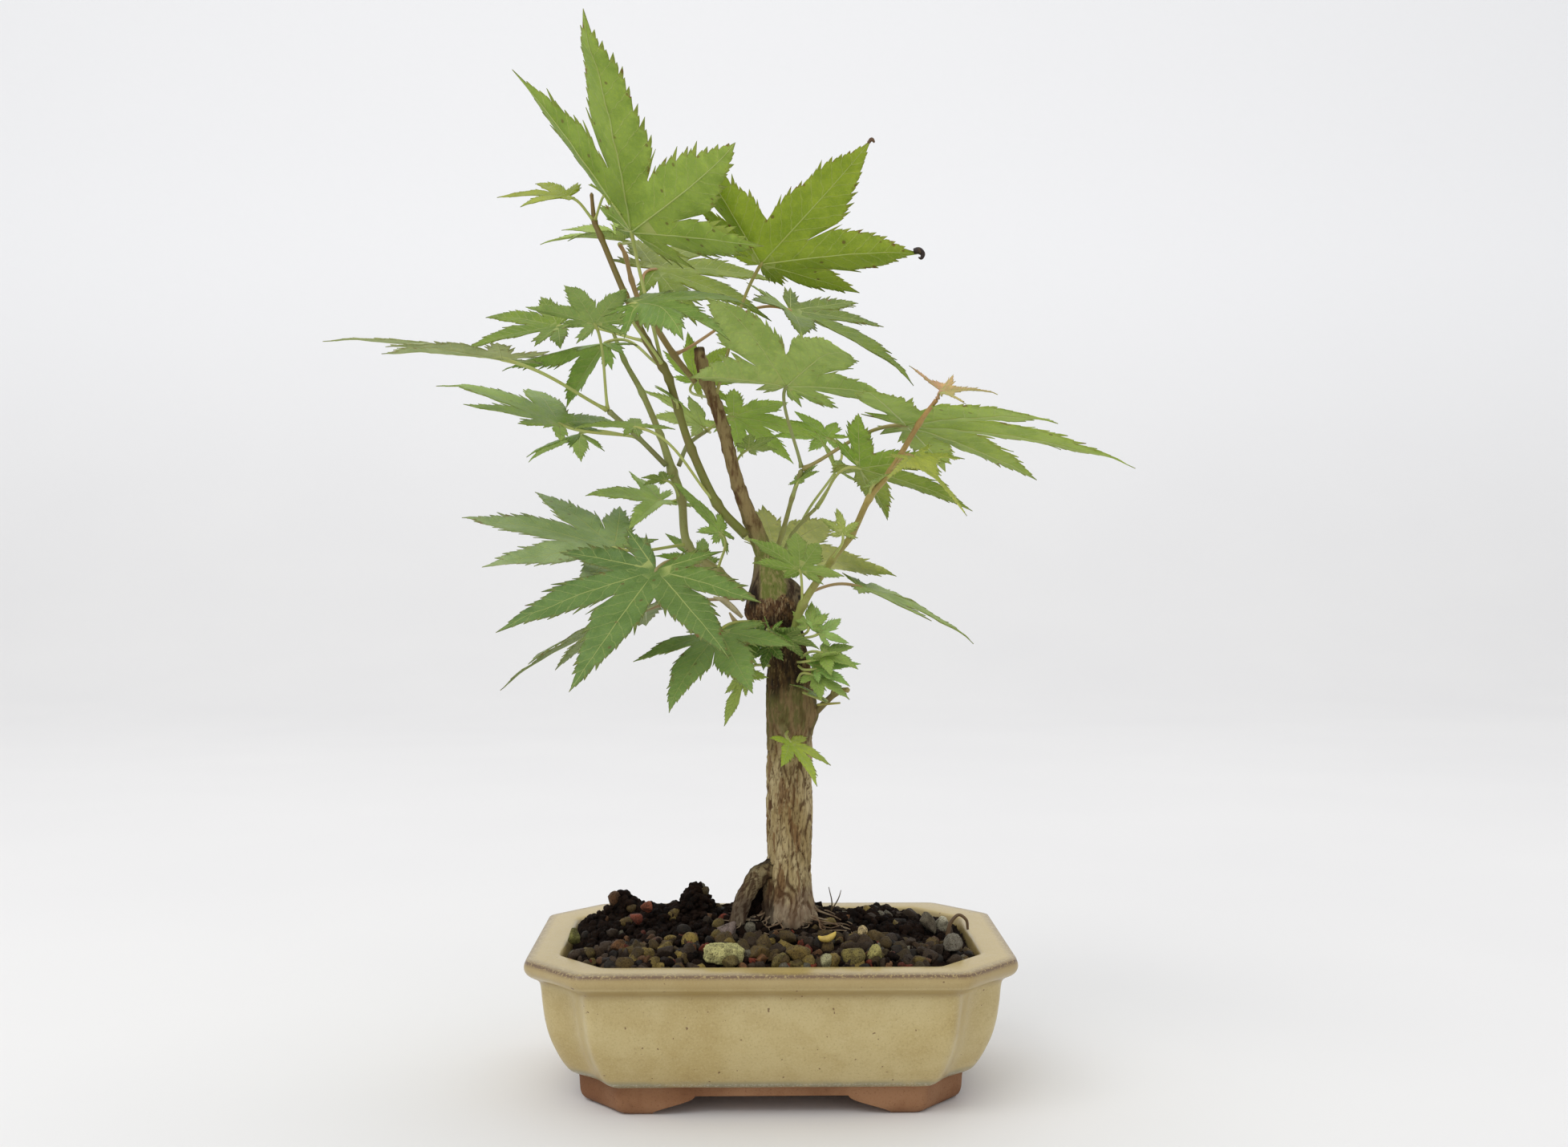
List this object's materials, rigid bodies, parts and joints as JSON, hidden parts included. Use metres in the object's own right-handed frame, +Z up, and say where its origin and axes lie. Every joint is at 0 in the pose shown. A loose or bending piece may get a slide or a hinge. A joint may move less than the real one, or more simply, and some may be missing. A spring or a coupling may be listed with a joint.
{
  "type": "potted maple bonsai",
  "caption": "Young palm-leaved maple grown as a small bonsai, with a fissured trunk, thin green shoots and serrated leaves, in a glazed pot with indented corners and bracket feet.",
  "frame": {"origin": "on the floor, under the middle of the whole plant's bounding box", "axes": "+Z up, +X along the pot's long side to the right, +Y to the pot's back"},
  "size_m": [0.2452, 0.1348, 0.3256],
  "materials": {
    "glazed_stoneware": "glossy straw-yellow glaze, bare brown clay on the feet",
    "plastic_mesh": "matte",
    "aluminium_wire": "satin, anodised brown",
    "gravel_soil": "matte, loose humus and gravel",
    "pumice": "matte",
    "bark": "matte, fissured",
    "young_bark": "satin",
    "leaf": "satin",
    "young_leaf": "satin"
  },
  "bodies": {
    "root": {"pot": "glazed_stoneware", "soil": "gravel_soil", "pale_stone": "pumice", "trunk": "bark", "drainage_mesh_left": "plastic_mesh", "drainage_mesh_right": "plastic_mesh", "mesh_wire_left": "aluminium_wire", "mesh_wire_right": "aluminium_wire", "leader_shoot": "young_bark", "green_shoot": "young_bark", "left_branch": "young_bark", "left_twig": "young_bark", "left_spur": "young_bark", "middle_shoot": "young_bark", "thin_shoot": "young_bark", "right_shoot": "young_bark", "stub_twig": "young_bark", "upper_leaf_1": "leaf", "upper_leaf_2": "leaf", "upper_leaf_3": "leaf", "upper_leaf_4": "leaf", "upper_leaf_5": "leaf", "upper_leaf_6": "leaf", "upper_leaf_7": "leaf", "upper_leaf_8": "leaf", "left_leaf_1": "leaf", "left_leaf_2": "leaf", "left_leaf_3": "leaf", "left_leaf_4": "leaf", "left_leaf_5": "leaf", "left_leaf_6": "leaf", "left_leaf_7": "leaf", "middle_leaf_1": "leaf", "middle_leaf_2": "leaf", "middle_leaf_3": "leaf", "middle_leaf_4": "leaf", "middle_leaf_5": "leaf", "middle_leaf_6": "leaf", "middle_leaf_7": "leaf", "middle_leaf_8": "leaf", "right_leaf_1": "leaf", "right_leaf_2": "leaf", "right_leaf_3": "leaf", "right_leaf_4": "leaf", "right_leaf_5": "leaf", "lower_leaf_1": "leaf", "lower_leaf_2": "leaf", "lower_leaf_3": "leaf", "lower_leaf_4": "leaf", "lower_leaf_5": "leaf", "neck_leaf_1": "leaf", "neck_leaf_2": "leaf", "right_young_leaf": "young_leaf", "right_tip_leaf": "young_leaf", "trunk_leaf_1": "young_leaf", "trunk_leaf_2": "young_leaf", "trunk_leaf_3": "young_leaf", "trunk_leaf_4": "young_leaf", "trunk_leaf_5": "young_leaf"}
  },
  "joints": []
}
